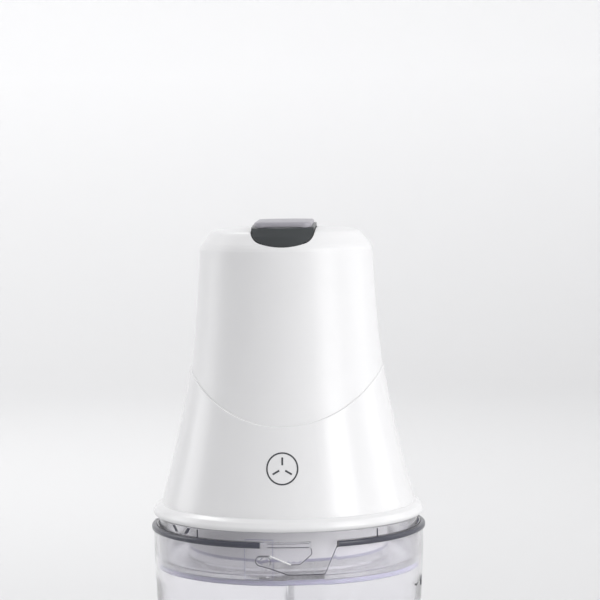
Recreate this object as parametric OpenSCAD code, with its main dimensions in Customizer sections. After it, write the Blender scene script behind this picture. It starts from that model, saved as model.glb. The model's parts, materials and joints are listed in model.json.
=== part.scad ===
// Vertical mini chopper: clear bowl, clear twist-lock lid and a white motor head that drops onto the lid.
// Origin: centre of the flat underside of the base ring. +Z is up, the front of the object faces -Y.

/* [Bowl] */
// Height of the bowl rim band's lower edge above the worktop
rim_z = 98; // [92:1:104]
// Outer radius of the rim band
rim_r = 62.1; // [62:0.1:62.6]
// Outer radius of the bowl wall under the rim
bowl_r = 61.1; // [61:0.1:61.4]
// Thickness of the bowl wall
bowl_wall = 2; // [1.8:0.1:2.2]
// Outer radius of the bowl just above its rounded foot
bowl_foot_r = 55.5; // [53:0.5:57]
// Number of bayonet slots around the rim
slot_count = 3; // [2:1:3]
// Turn of the first slot's zero angle from the middle of the front
slot_turn = 2.5; // [-5:0.5:5]

/* [Lid] */
// Outer radius of the lid's wall
lid_r = 58.5; // [58:0.1:58.7]
// Angle from the locked end of a bayonet slot to the foot of its ramp
unlock_deg = 11.2; // [10:0.1:11.2]
// Drop of the lid over that angle
unlock_drop = 3.75; // [3.5:0.05:3.75]

/* [Motor head] */
// Thickness of the head's outer wall
head_wall = 2.2; // [1.8:0.1:2.4]
// How far the collar stands proud of the upper housing
collar_step = 0.9; // [0.6:0.1:1.2]
// Radius of the curved seam between collar and housing
seam_r = 54.5; // [50:0.5:60]
// Height of the seam's lowest point above the rim
seam_z = 51; // [46:1:56]
// Width of the push button
button_w = 27.6; // [24:0.2:30]
// Travel of the push button
button_travel = 3; // [2:0.5:3]

/* [Drive] */
// Gear module of the planetary reduction
gear_m = 0.8; // [0.78:0.01:0.8]
// Teeth on the sun pinion
sun_teeth = 12; // [12:12:12]
// Teeth on each planet gear
planet_teeth = 15; // [15:15:15]
// Radius of the motor shaft
shaft_r = 1.6; // [1.4:0.1:1.8]
// Radius of the steel spindle in the bowl
spindle_r = 2.5; // [2:0.1:3]
// Radius swept by the blades
blade_r = 50; // [44:0.5:51]

/* [Hidden] */
$fn = 96;
eps = 0.01;
fit = 0.05;

ring_teeth = sun_teeth + 2 * planet_teeth;
orbit_r = gear_m * (sun_teeth + planet_teeth) / 2;
planet_count = 3;
pressure_deg = 25;
backlash_deg = 1.1;

button_gap = 0.4;
button_low = 128.9;
pad_z = 139.9;
outlet_z = 100;
base_floor_z = -8.2;
drive_lift = 4.4;
roof_z = 5.4;
tray_z = -15;
pin_seat_z = -8.8;

// Bayonet slot: angles around the rim, measured from the middle of the front, and heights from the rim.
lug_at = -10.3;
lug_z = -5.6;
lug_r = 1.7;
ramp_from = -7.4;
mouth_from = 9.3;
mouth_to = 20.7;
band_gap_from = -11.5;

// Half of the head's outline, as control points [radius, height above the rim].
flank = [[56.5, 12], [45, 55.5], [42, 71], [39, 125.5]];
bevel = [[39, 125.5], [38.9, 126.6], [38.45, 127.9], [37.6, 129.3],
    [34.2, 133.3], [33.3, 134.2], [32.4, 134.8], [31.4, 135.1]];

CASE_NODES = [
    "bowl", "rim_band", "base_ring", "spindle_pin", "spindle_nut",
    "blade_hub", "blade_stem", "lower_blade", "upper_blade", "drive_socket",
    "lid", "lid_bush", "lid_gasket",
    "upper_housing", "collar", "base_plate", "base_screws", "cord_gland", "badge",
    "button", "button_pad", "button_spring", "button_guide"];
DRIVE_NODES = [
    "motor_cradle", "cradle_screws", "motor_can", "magnet_left", "magnet_right", "end_cap",
    "brush_left", "brush_right", "bottom_bearing", "top_bearing",
    "motor_shaft", "armature_core", "armature_winding", "commutator", "cooling_fan", "sun_pinion",
    "motor_plate", "ring_gear", "gearbox_cover", "gearbox_screws", "output_bearing",
    "planet_1", "planet_2", "planet_3", "planet_carrier", "output_dog",
    "top_bracket", "circuit_board", "rectifier", "choke",
    "power_switch", "switch_plunger", "interlock_switch", "interlock_pin", "interlock_spring"];

// ---------- helpers ----------

function bezier(p, t) =
    pow(1 - t, 3) * p[0] + 3 * pow(1 - t, 2) * t * p[1] + 3 * (1 - t) * t * t * p[2] + pow(t, 3) * p[3];
function curve(p, steps, out = 0) = [for (i = [0:steps]) bezier(p, i / steps) + [out, 0]];
function moved(line, by) = [for (p = line) p + by];
function reversed(list) = [for (i = [len(list) - 1:-1:0]) list[i]];
function polar(r, a) = [r * cos(a), r * sin(a)];
function on_wall(a, z) = [bowl_r * sin(a), z];

module on_rim() translate([0, 0, rim_z]) children();

module on_drive() translate([0, 0, rim_z + drive_lift]) children();

module tube(r_out, r_in, z0, z1) {
    rotate_extrude() polygon([[r_in, z0], [r_out, z0], [r_out, z1], [r_in, z1]]);
}

module disc(r, z0, z1) translate([0, 0, z0]) cylinder(r = r, h = z1 - z0);

module around(n, r, start = 0) {
    for (i = [0:n - 1]) rotate(start + 360 * i / n) translate([r, 0, 0]) children();
}

// Everything of a flat outline in X and Z, seen from the front, pushed through in Y.
module from_front(y0, y1) {
    translate([0, y1, 0]) rotate([90, 0, 0]) linear_extrude(y1 - y0) children();
}

function involute(a) = tan(a) * 180 / PI - a;
function flank_half(teeth, r, slack) =
    let (base = gear_m * teeth / 2 * cos(pressure_deg))
    90 / teeth - slack + involute(pressure_deg) - (r > base ? involute(acos(base / r)) : 0);

module gear_outline(teeth, add, ded, slack) {
    pitch_r = gear_m * teeth / 2;
    radii = [for (i = [0:4]) pitch_r - ded * gear_m + i / 4 * (add + ded) * gear_m];
    tooth = concat(
        [for (r = radii) [r, -flank_half(teeth, r, slack)]],
        [for (r = reversed(radii)) [r, flank_half(teeth, r, slack)]]);
    polygon([for (k = [0:teeth - 1], p = tooth) polar(p[0], 360 * k / teeth + p[1])]);
}

module spur_gear(teeth, bore_r, z0, z1) {
    translate([0, 0, z0]) linear_extrude(z1 - z0) difference() {
        gear_outline(teeth, 0.9, 1.2, backlash_deg * sun_teeth / teeth);
        circle(bore_r);
    }
}

// A coil spring as one swept tube of eight sides.
module coil(r, wire, z0, z1, turns) {
    steps = 14 * turns;
    sides = 8;
    points = [for (i = [0:steps], k = [0:sides - 1])
        let (a = 360 * turns * i / steps, b = 360 * k / sides, rr = r + wire * cos(b))
        [rr * cos(a), rr * sin(a), z0 + wire + (z1 - z0 - 2 * wire) * i / steps + wire * sin(b)]];
    walls = [for (i = [0:steps - 1], k = [0:sides - 1])
        let (n = (k + 1) % sides)
        [i * sides + k, (i + 1) * sides + k, (i + 1) * sides + n, i * sides + n]];
    ends = [[for (k = [0:sides - 1]) k], [for (k = [sides - 1:-1:0]) steps * sides + k]];
    polyhedron(points, concat(walls, ends));
}

module screws(n, r, start, z, length) {
    around(n, r, start) {
        difference() {
            translate([0, 0, z - 1.8]) cylinder(r = 2.7, h = 1.8, $fn = 32);
            translate([0, 0, z - 2]) cube([0.9, 3.4, 1.6], center = true);
            translate([0, 0, z - 2]) cube([3.4, 0.9, 1.6], center = true);
        }
        translate([0, 0, z - eps]) cylinder(r = 1.4, h = length, $fn = 32);
    }
}

// ---------- bowl ----------

// Window of one bayonet slot, as seen from the front: mouth, level run, ramp and rounded locked end.
module slot_outline() {
    end_r = lug_r + 0.55;
    top = lug_z + end_r;
    low = lug_z - unlock_drop - end_r;
    foot = lug_at + unlock_deg;
    polygon([
        on_wall(mouth_from, 4), on_wall(mouth_from, 1.5), on_wall(mouth_from + 0.6, -2.2),
        on_wall(foot + 3.8, top - unlock_drop), on_wall(foot, top - unlock_drop),
        on_wall(ramp_from, top), on_wall(lug_at - 0.9, top), on_wall(lug_at - 0.9, lug_z - end_r),
        on_wall(ramp_from, lug_z - end_r - 1), on_wall(foot - 1.1, low),
        on_wall(15, low), on_wall(mouth_to, 1.5), on_wall(mouth_to, 4)]);
    translate(on_wall(lug_at - 0.9, lug_z)) circle(end_r);
}

module slots() {
    for (i = [0:slot_count - 1]) rotate(slot_turn + 360 * i / slot_count)
        from_front(-70, -50) slot_outline();
}

module sector(r, from_deg, to_deg, z0, z1) {
    steps = 8;
    edge = [for (i = [0:steps]) polar(r, -90 + from_deg + (to_deg - from_deg) * i / steps)];
    translate([0, 0, z0]) linear_extrude(z1 - z0) polygon(concat([[0, 0]], edge));
}

module bowl() {
    foot = 12;
    color([0.9, 0.9, 0.94, 0.35]) difference() {
        rotate_extrude() difference() {
            union() {
                polygon([[0, 5], [bowl_foot_r - 7, 5], [bowl_foot_r, foot], [bowl_r - 1, rim_z - 32],
                    [bowl_r, rim_z - 11], [bowl_r, rim_z], [rim_r, rim_z], [rim_r, rim_z + 2],
                    [rim_r - 0.6, rim_z + 2.6], [0, rim_z + 2.6]]);
                translate([bowl_foot_r - 7, foot]) circle(7);
            }
            polygon([[0, 7.5], [bowl_foot_r - 10, 7.5], [bowl_foot_r - 4.5, foot - 1.5],
                [bowl_foot_r - bowl_wall, foot + 5], [bowl_r - 1 - bowl_wall, rim_z - 32],
                [bowl_r - bowl_wall - 0.6, rim_z - 21.6], [bowl_r - bowl_wall, rim_z - 21],
                [bowl_r - bowl_wall, rim_z + 4], [0, rim_z + 4]]);
        }
        on_rim() slots();
        on_rim() band_ring();
        disc(spindle_r, 0, 20);
    }
    color([0.9, 0.9, 0.94, 0.35]) difference() {
        rotate_extrude() polygon([[0, 7.4], [11, 7.4], [8, 10], [6.6, 20], [0, 20]]);
        disc(spindle_r, 0, 21);
        disc(4.4, 0, 11);
    }
    level_marks();
}

// Raised level marks on the right of the bowl, long at every second level.
module level_marks() {
    for (i = [0:6]) {
        z = rim_z - 24 - 9 * i;
        long = i % 2 == 0 ? 7 : 4;
        r = bowl_r - 1 - max(0, rim_z - 32 - z) * (bowl_r - 1 - bowl_foot_r) / (rim_z - 44);
        color([0.9, 0.9, 0.94, 0.35]) rotate(-12) translate([r - 0.4, -long, z]) cube([0.75, long, 0.9]);
    }
}

// The dark band runs from each slot's mouth round to the next slot's locked end.
module band_ring() {
    pitch = 360 / slot_count;
    for (i = [0:slot_count - 1]) rotate(slot_turn + pitch * i) intersection() {
        rotate(120) tube(rim_r + 1, bowl_r - 1.3, 0, 4);
        sector(90, mouth_to, pitch + band_gap_from, -1, 5);
    }
}

module rim_band() {
    pitch = 360 / slot_count;
    color([0.24, 0.25, 0.29]) on_rim() for (i = [0:slot_count - 1]) rotate(slot_turn + pitch * i)
        intersection() {
            rotate(120) rotate_extrude() polygon([[bowl_r - 1.3, 0], [rim_r, 0], [rim_r, 1.6],
                [rim_r - 0.7, 2.4], [bowl_r - 0.6, 2.4], [bowl_r - 1.3, 1.8]]);
            sector(90, mouth_to, pitch + band_gap_from, -1, 5);
        }
}

module base_ring() {
    color([0.55, 0.56, 0.6]) difference() {
        rotate_extrude() polygon([[bowl_foot_r - 9, 0], [bowl_foot_r - 1, 0], [bowl_foot_r + 1.2, 2],
            [bowl_foot_r + 1.8, 6], [bowl_foot_r + 1.8, 15], [bowl_foot_r, 15], [bowl_foot_r - 12, 5],
            [bowl_foot_r - 12, 3]]);
        rotate_extrude() union() {
            polygon([[0, 5], [bowl_foot_r - 7, 5], [bowl_foot_r, 12], [bowl_r - 1, rim_z - 32],
                [0, rim_z]]);
            translate([bowl_foot_r - 7, 12]) circle(7);
        }
    }
}

module spindle_pin() {
    color("silver") union() {
        disc(spindle_r, 5.2, 44);
        disc(spindle_r - 0.6, 44 - eps, 45);
        disc(4.4, 8.2, 10.9);
    }
}

module spindle_nut() {
    color("gainsboro") difference() {
        translate([0, 0, 1.4]) cylinder(r = 5.2, h = 3.4, $fn = 6);
        disc(spindle_r, 0, 6);
    }
}

// ---------- blade set ----------

module blade_hub() {
    color("white") difference() {
        rotate_extrude() polygon([[0, 21], [10.5, 21], [10.5, 27], [8.5, 29], [7.5, 47], [5, 52], [0, 52]]);
        disc(spindle_r + fit, 20, 45.3);
        disc(7, 20, 20.9);
        lower_blade();
        upper_blade();
    }
}

// One curved, tapering wing with a bevelled cutting edge.
module wing(reach) {
    steps = 12;
    tip_w = 7;
    back = [for (i = [0:steps]) let (t = i / steps)
        [reach * t, 7 - 15 * pow(t, 1.6) + 3 * t]];
    edge = [for (i = [0:steps]) let (t = i / steps)
        [reach * t, -4.2 - 11.5 * sin(90 * t) - (tip_w - 7) * t]];
    difference() {
        linear_extrude(1.2) intersection() {
            polygon(concat(back, reversed(edge)));
            circle(blade_r);
        }
        for (i = [0:steps - 1]) {
            p = edge[i];
            q = edge[i + 1];
            a = atan2(q[1] - p[1], q[0] - p[0]);
            if (i > 3) translate([p[0], p[1], 1.25]) rotate(a) rotate([35, 0, 0])
                translate([-0.6, -2.4, -1.2]) cube([norm(q - p) + 1.2, 2.4, 1.2]);
        }
    }
}

module blade(reach) {
    difference() {
        intersection() {
            union() {
                wing(reach);
                rotate(180) wing(reach);
                disc(7, 0, 1.2);
            }
            translate([-60, -60, 0]) cube([120, 120, 1.2]);
        }
        disc(spindle_r + 2.1, -1, 3);
    }
}

module lower_blade() color("silver") translate([0, 0, 25]) blade(blade_r - 0.5);

module upper_blade() color("silver") translate([0, 0, 38]) rotate(90) blade(blade_r - 4);

module blade_stem() color("silver") disc(2.25, 52, rim_z - 9.7);

module drive_socket() {
    color("white") on_rim() {
        difference() {
            rotate_extrude() polygon([[0, -11.6], [7.2, -11.6], [8, -10.8], [8, 0], [0, 0]]);
            disc(6.2, -9.6, 1);
            disc(2.25, -30, -9.4);
        }
        for (side = [0, 180]) rotate(90 + side) translate([3.9, -1.5, -9.7]) cube([2.7, 3, 9]);
    }
}

// ---------- lid ----------

module lid() {
    color([0.9, 0.9, 0.94, 0.35]) on_rim() {
        difference() {
            rotate_extrude() polygon([[9.5, tray_z], [lid_r - 0.8, tray_z], [lid_r, tray_z + 0.8],
                [lid_r, 5.7], [lid_r - 0.5, 6.3], [lid_r - 1.6, 6.3], [lid_r - 1.9, 5.7],
                [lid_r - 1.9, tray_z + 3], [lid_r - 3, tray_z + 2], [11.6, tray_z + 2], [11.6, -1.5],
                [9.5, -1.5]]);
            tube(58, 56, tray_z - 1, tray_z + 0.6);
        }
        around(slot_count, 0, slot_turn - 90) lid_lug();
        tube(46.4, 46, tray_z + 1.9, tray_z + 3.4);
        translate([30, 0, 0]) disc(5, tray_z + 1.9, pin_seat_z);
        lid_marks();
    }
}

// Outline of a bayonet lug: round at its leading end, square with one bevelled corner at the other.
module lug_outline() {
    translate(on_wall(lug_at - 0.9, lug_z)) circle(lug_r);
    polygon([
        on_wall(lug_at - 0.9, lug_z - lug_r), on_wall(ramp_from, lug_z - lug_r),
        on_wall(ramp_from, lug_z + lug_r - 1.1), on_wall(ramp_from - 1.1, lug_z + lug_r),
        on_wall(lug_at - 0.9, lug_z + lug_r)]);
}

// One bayonet lug through the slot, on a plate that stiffens the lid's wall.
module lid_lug() {
    rotate(90) {
        intersection() {
            tube(bowl_r + 0.3, lid_r - 1, -12, 4);
            from_front(-70, -50) lug_outline();
        }
        intersection() {
            tube(lid_r + 0.25, lid_r - 0.4, tray_z, 6);
            sector(90, lug_at - 7.5, lug_at + 4.1, tray_z + 0.8, 3.4);
        }
    }
}

// Two slanted alignment ribs at the left and a short pointer rib at the right.
module lid_marks() {
    intersection() {
        tube(lid_r + 0.35, lid_r - 1, 2.8, 5.6);
        union() {
            for (side = [-1, 1]) rotate(slot_turn - 57) from_front(-70, -40)
                polygon([[side * 8, 5.6], [side * 7, 5.6], [side * 4.6, 2.8], [side * 5.6, 2.8]]);
            rotate(slot_turn + 41) from_front(-70, -40) translate([-0.6, 2]) square([1.2, 4]);
        }
    }
}

module lid_bush() {
    color("ivory") on_rim() rotate_extrude() polygon([[8 + fit, tray_z - 0.8], [9.5, tray_z - 0.8],
        [9.5, -1.5], [11.2, -1.5], [11.2, -0.7], [8 + fit, -0.7]]);
}

module lid_gasket() {
    color([0.78, 0.77, 0.86]) on_rim() rotate_extrude()
        polygon([[56.1, tray_z + 0.5], [57.9, tray_z + 0.5], [57.9, tray_z - 0.9], [58.8, tray_z - 1.3],
            [58.4, tray_z - 1.8], [55.6, tray_z - 1.6], [55.6, tray_z - 0.1], [56.1, tray_z - 0.1]]);
}

// ---------- head casing ----------

function housing_line(out) = concat(curve(flank, 14, out), moved(bevel, [out, 0]));

module upper_housing() {
    color("white") on_rim() difference() {
        rotate_extrude() polygon(concat(
            housing_line(0), [[22, 135.9], [11, 136.3], [0, 136.4], [0, 136.4 - head_wall]],
            [[28, 135 - head_wall]],
            [for (i = [len(bevel) - 1:-1:1]) bevel[i] - [head_wall, 0.9]],
            reversed(curve(flank, 10, -head_wall))));
        button_shape(button_gap) button_front(button_gap);
        button_well();
        outlet_hole();
    }
}

// Room behind the housing's skin for the button's skirt to sink into.
module button_well() {
    intersection() {
        translate([0, 0, 122 - button_travel]) linear_extrude(20) button_plan(button_gap);
        rotate_extrude() polygon(concat([[0, 118], [37.8, 118]], moved(bevel, [-0.95, 0]), [[0, 134.6]]));
    }
}

module outlet_hole() translate([0, 30, outlet_z]) rotate([-90, 0, 0]) cylinder(r = 5, h = 20);

module collar() {
    color("white") on_rim() difference() {
        rotate_extrude() polygon(concat(
            [[54.3, 6.6], [60.2, 6.6], [60.9, 7.1], [61.2, 8], [60.9, 9.1], [59.9, 10.3], [58.4, 11.8]],
            [for (p = curve(flank, 14, collar_step)) if (p[1] < seam_z + seam_r / 2 && p[1] > 13) p],
            reversed([for (p = curve(flank, 14, fit)) if (p[1] < seam_z + seam_r / 2) p]),
            [[54.3, 9.2]]));
        translate([0, 80, seam_z + seam_r]) rotate([90, 0, 0]) cylinder(r = seam_r, h = 160, $fn = 180);
    }
}

module base_plate() {
    color("whitesmoke") on_rim() difference() {
        union() {
            rotate_extrude() polygon([[45.5, base_floor_z], [45.5, 6.6], [54.2, 6.6], [54.2, 9.1],
                [43.5, 9.1], [43.5, base_floor_z + 2], [16, base_floor_z + 2], [16, roof_z + 2],
                [5.2, roof_z + 2], [5.2, roof_z], [14, roof_z], [14, base_floor_z]]);
            around(4, 36, 45) disc(3.6, base_floor_z + 1, drive_lift + 3.2);
            around(4, 49, 45) disc(3.4, 9, 17);
        }
        around(4, 49, 45) disc(1.4, 0, 16);
        around(4, 36, 45) disc(1.4, base_floor_z - 1, drive_lift + 4);
        around(4, 49, 45) disc(3, 0, 6.6 + 0.9);
        around(12, 30, 15) translate([0, 0, base_floor_z]) cube([8, 1.6, 8], center = true);
        translate([30, 0, 0]) disc(2 + fit, base_floor_z - 1, 0);
    }
}

module base_screws() color("silver") on_rim() screws(4, 49, 45, 7.5, 8.5);

module cord_gland() {
    color("dimgray") on_rim() translate([0, 0, outlet_z]) rotate([-90, 0, 0]) difference() {
        union() {
            translate([0, 0, 36.6]) cylinder(r = 4.9, h = 5);
            translate([0, 0, 41.5]) cylinder(r = 7, h = 1.8);
            translate([0, 0, 35.2]) cylinder(r = 6.4, h = 1.6);
        }
        translate([0, 0, 30]) cylinder(r = 3.3, h = 20);
        intersection() {
            rotate([90, 0, 0]) tube(40.3, 30, -20, 20);
            translate([0, 0, 40.9]) cylinder(r = 8, h = 1, center = true);
        }
    }
}

// Printed emblem: a plain ring with three short blade strokes.
module badge() {
    color([0.25, 0.26, 0.28]) on_rim() intersection() {
        from_front(-70, -40) translate([0, 33.3]) {
            difference() {
                circle(7);
                circle(6.35);
            }
            for (a = [0, 120, 240]) rotate(a) translate([-0.38, 1.5]) square([0.76, 3.3]);
        }
        rotate_extrude() polygon(concat(
            curve(flank, 14, collar_step + 0.06), reversed(curve(flank, 14, collar_step + 0.01))));
    }
}

// ---------- button ----------

module button_plan(grow) {
    w = button_w / 2 + grow;
    translate([-w, -46]) square([2 * w, 52]);
    translate([0, 6]) circle(w);
}

// Half-moon front of the button: a wide arc below, turning tangentially into round corners.
module button_front(grow) {
    corner = 5.5;
    arc_r = 32;
    half = button_w / 2 - corner;
    mid_z = button_low + arc_r;
    corner_z = mid_z - sqrt(pow(arc_r - corner, 2) - pow(half, 2));
    touch = half * arc_r / (arc_r - corner);
    for (side = [-1, 1]) translate([side * half, corner_z]) circle(corner + grow);
    translate([-half - corner - grow, corner_z]) square([2 * (half + corner + grow), 20]);
    intersection() {
        translate([0, mid_z]) circle(arc_r + grow, $fn = 180);
        translate([-touch, button_low - grow]) square([2 * touch, 20]);
    }
}

// Room taken by the button: its plan from above, crossed with a front outline.
module button_shape(grow) {
    intersection() {
        translate([0, 0, 118]) linear_extrude(40) button_plan(grow);
        from_front(-60, 40) children();
    }
}

module button() {
    color([0.25, 0.27, 0.28]) on_rim() {
        difference() {
            intersection() {
                button_shape(0) {
                    button_front(0);
                    translate([5 - button_w / 2, 126]) square([button_w - 10, 12]);
                }
                rotate_extrude() polygon([[0, 126], [35.9, 126], [36.4, 128.8], [34.2, 133.1],
                    [31.6, 136.6],
                    [30.6, 137.1], [16, 137.8], [0, 138]]);
            }
            translate([0, 4, 125]) button_pocket(9);
            pad_slab(fit);
        }
        difference() {
            disc(3, 115.2, 135);
            disc(1.8, 114, 118);
        }
        tube(7.6, 6.6, 130, 135.4);
    }
}

module button_pocket(h) {
    linear_extrude(h) union() {
        circle(button_w / 2 - 2);
        translate([-button_w / 2 + 2, -32]) square([button_w - 4, 32]);
    }
}

module pad_plan(grow) {
    corner = 4;
    half = 12.7 + grow;
    front = -29.5 - grow;
    translate([0, 6]) circle(half);
    translate([-half, front + corner]) square([2 * half, 6 - front - corner]);
    translate([corner - half, front]) square([2 * (half - corner), 10]);
    for (side = [-1, 1]) translate([side * (half - corner), front + corner]) circle(corner);
}

// Finger pad with a slightly domed top.
module pad_slab(grow) {
    intersection() {
        translate([0, 0, 136.2 - grow]) linear_extrude(6) pad_plan(grow);
        translate([0, -8, pad_z - 180]) sphere(180, $fn = 360);
    }
}

module button_pad() color([0.75, 0.73, 0.79]) on_rim() pad_slab(0);

module button_spring() color("silver") on_rim() coil(5, 0.45, 121.6, 133.9, 6);

module button_guide() {
    color("whitesmoke") on_rim() difference() {
        union() {
            disc(35.5, 117.5, 119.3);
            tube(8, 3.2, 118, 121.5);
            around(3, 31, 90) disc(3, 119, 129);
        }
        disc(3.2, 110, 130);
        around(6, 20, 0) disc(4, 110, 130);
        translate([-15, -50, 110]) cube([30, 17, 20]);
    }
}

// ---------- motor ----------

module motor_cradle() {
    color("gainsboro") on_drive() difference() {
        union() {
            tube(41, 21.4, 3.2, 5.2);
            tube(28, 25.3, 5, 64);
            around(8, 25.3, 22.5) translate([2, -1, 5]) cube([9, 2, 16]);
        }
        around(4, 36, 45) disc(1.5, 0, 10);
        around(4, 36, 45) disc(4, 5.2, 30);
        translate([30, 0, 0]) disc(4.2, 0, 12);
        around(4, 26, 0) translate([0, 0, 42]) cube([8, 12, 24], center = true);
    }
}

module cradle_screws() color("silver") on_drive() mirror([0, 0, 1]) screws(4, 36, 45, -5.2, 9);

module motor_can() {
    color("silver") on_drive() difference() {
        disc(25, 21.6, 65);
        disc(23.4, 23.4, 66);
        disc(4, 20, 30);
        around(6, 15, 30) disc(3, 20, 26);
    }
}

module magnet(side) {
    color([0.2, 0.2, 0.22]) on_drive() intersection() {
        tube(23.4, 19.4, 28, 62);
        rotate(side) sector(40, 25, 155, 20, 70);
    }
}

module magnet_left() magnet(180);

module magnet_right() magnet(0);

module end_cap() {
    color("beige") on_drive() difference() {
        union() {
            tube(25, 23.4, 65, 74);
            disc(25, 73, 76);
            disc(7, 70, 78);
            for (side = [0, 180]) rotate(side) translate([7.5, -4, 65.6]) cube([16, 8, 8]);
        }
        disc(6.4, 60, 73);
        disc(4, 60, 80);
        for (side = [0, 180]) rotate(side) translate([5, -2.5, 67]) cube([17, 5, 4.5]);
        around(4, 20, 45) disc(3.5, 70, 80);
    }
}

module brush(side) {
    color([0.18, 0.18, 0.18]) on_drive() rotate(side) translate([6.1, -2.45, 67.05]) cube([9, 4.9, 4.4]);
}

module brush_left() brush(180);

module brush_right() brush(0);

module bottom_bearing() color("darkgoldenrod") on_drive() tube(4, shaft_r + fit, 21.6, 26);

module top_bearing() color("darkgoldenrod") on_drive() tube(4, shaft_r + fit, 73.2, 78);

module motor_shaft() color("silver") on_drive() disc(shaft_r, 9.2, 87);

module armature_core() {
    color([0.45, 0.46, 0.5]) on_drive() translate([0, 0, 30]) linear_extrude(30) difference() {
        circle(18.9);
        circle(shaft_r);
        slot_shapes(0);
    }
}

module slot_shapes(shrink) {
    for (i = [0:6]) rotate(360 * i / 7 + 12) {
        translate([13, 0]) circle(3.6 - shrink);
        if (shrink == 0) translate([13, -0.8]) square([8, 1.6]);
    }
}

module armature_winding() {
    color([0.72, 0.4, 0.2]) on_drive() {
        translate([0, 0, 29.5]) linear_extrude(31) slot_shapes(0.2);
        for (z = [[26.6, 29.9], [60.1, 64]]) rotate_extrude()
            polygon([[4, z[0] + 1], [6, z[0]], [15, z[0]], [17, z[0] + 1.2], [17, z[1] - 1],
                [15, z[1]], [6, z[1]], [4, z[1] - 1]]);
    }
}

module commutator() {
    color("peru") on_drive() difference() {
        tube(5.9, shaft_r, 65.4, 72.6);
        around(7, 5.8, 0) translate([0, 0, 69]) cube([1.4, 0.4, 9], center = true);
    }
}

module cooling_fan() {
    color("whitesmoke") on_drive() {
        tube(4, shaft_r, 79, 86);
        tube(18.5, 3.9, 79, 80.2);
        around(9, 3.6, 0) rotate(18) translate([0, -0.5, 80]) cube([14, 1, 6]);
    }
}

// ---------- reduction gear ----------

module sun_pinion() color("darkgoldenrod") on_drive() spur_gear(sun_teeth, shaft_r, 10.2, 18.2);

module planet(index) {
    a = 90 + 360 * (index - 1) / planet_count;
    color("ivory") on_drive() translate(concat(polar(orbit_r, a), 0)) rotate(a + 180 + 180 / planet_teeth)
        spur_gear(planet_teeth, 2 + fit, 10.2, 18.2);
}

module planet_1() planet(1);

module planet_2() planet(2);

module planet_3() planet(3);

module ring_gear() {
    color("whitesmoke") on_drive() difference() {
        disc(21, 6.6, 19.5);
        disc(18.2, 6, 9.8);
        translate([0, 0, 9]) linear_extrude(12) rotate(90)
            gear_outline(ring_teeth, 1.2, 0.9, -backlash_deg * sun_teeth / ring_teeth);
        around(3, 19.6, 30) disc(0.9, 0, 30);
    }
}

module planet_carrier() {
    color("lightgray") on_drive() {
        difference() {
            disc(15.5, 7.2, 9.8);
            disc(2.4, 8.8, 11);
        }
        around(planet_count, orbit_r, 90) disc(2, 9.7, 18.8);
        disc(3, -4, 7.3);
    }
}

module output_bearing() color("darkgoldenrod") on_drive() tube(5.2, 3 + fit, 3.2, 6.4);

module gearbox_cover() {
    color("whitesmoke") on_drive() difference() {
        disc(21, 3.4, 6.6);
        disc(5.2, 0, 9);
        around(3, 19.6, 30) disc(0.9, 0, 30);
    }
}

module motor_plate() {
    color("silver") on_drive() difference() {
        disc(21, 19.5, 21.6);
        disc(5, 19, 23);
        around(3, 19.6, 30) disc(0.9, 0, 30);
    }
}

module gearbox_screws() color("silver") on_drive() around(3, 19.6, 30) disc(0.9, 3.4, 21.6);

// Cross-wing dog that drops into the drive socket.
module output_dog() {
    color("dimgray") on_drive() difference() {
        union() {
            disc(4.2, -9.6, 0.4);
            for (side = [0, 180]) rotate(side) translate([2.9, -1.5, -9.6]) cube([2.7, 3, 6]);
        }
        disc(3, -4, 1);
        for (side = [0, 180]) rotate(90 + side) translate([3.3, -3, -10]) cube([4, 6, 9.2]);
    }
}

// ---------- electrics ----------

module top_bracket() {
    color("gainsboro") on_drive() difference() {
        union() {
            disc(33, 88, 90);
            around(4, 22.6, 45) disc(1.8, 76, 89);
            translate([-12, -5, 89.9]) cube([2.5, 10, 16]);
        }
        disc(9, 80, 95);
        around(8, 24, 22.5) disc(3, 80, 95);
    }
}

module circuit_board() {
    color([0.2, 0.42, 0.28]) on_drive() difference() {
        translate([-6, 8, 91]) cube([30, 20, 1.6]);
        translate([3, 9.8, 80]) cylinder(r = 1, h = 20, $fn = 24);
    }
}

module rectifier() color([0.15, 0.15, 0.16]) on_drive() translate([10, 12, 92.6]) cube([12, 4, 9]);

module choke() {
    color("peru") on_drive() translate([0, 20, 97.6]) rotate([90, 0, 0])
        rotate_extrude() translate([3.6, 0]) circle(1.4, $fn = 32);
}

module power_switch() {
    color([0.16, 0.16, 0.17]) on_rim() difference() {
        translate([-9.4, -3.2, 99]) cube([19.6, 6.4, 11.5]);
        disc(1.5 + fit, 106, 112);
        for (x = [-4.8, 4.8]) translate([x, 5, 101]) rotate([90, 0, 0]) cylinder(r = 1.5, h = 10, $fn = 32);
    }
}

module switch_plunger() color("firebrick") on_rim() disc(1.5, 108.2, 113.5);

module interlock_switch() color([0.16, 0.16, 0.17]) on_rim() translate([28.4, -6, 14.2]) cube([6.4, 12, 8]);

module interlock_pin() {
    color("gold") on_rim() translate([30, 0, 0]) {
        disc(2, -8.6, 12.4);
        disc(3.4, -5, -3.6);
    }
}

module interlock_spring() color("silver") on_rim() translate([30, 0, 0]) coil(2.9, 0.35, -3.5, 3, 4);

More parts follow.
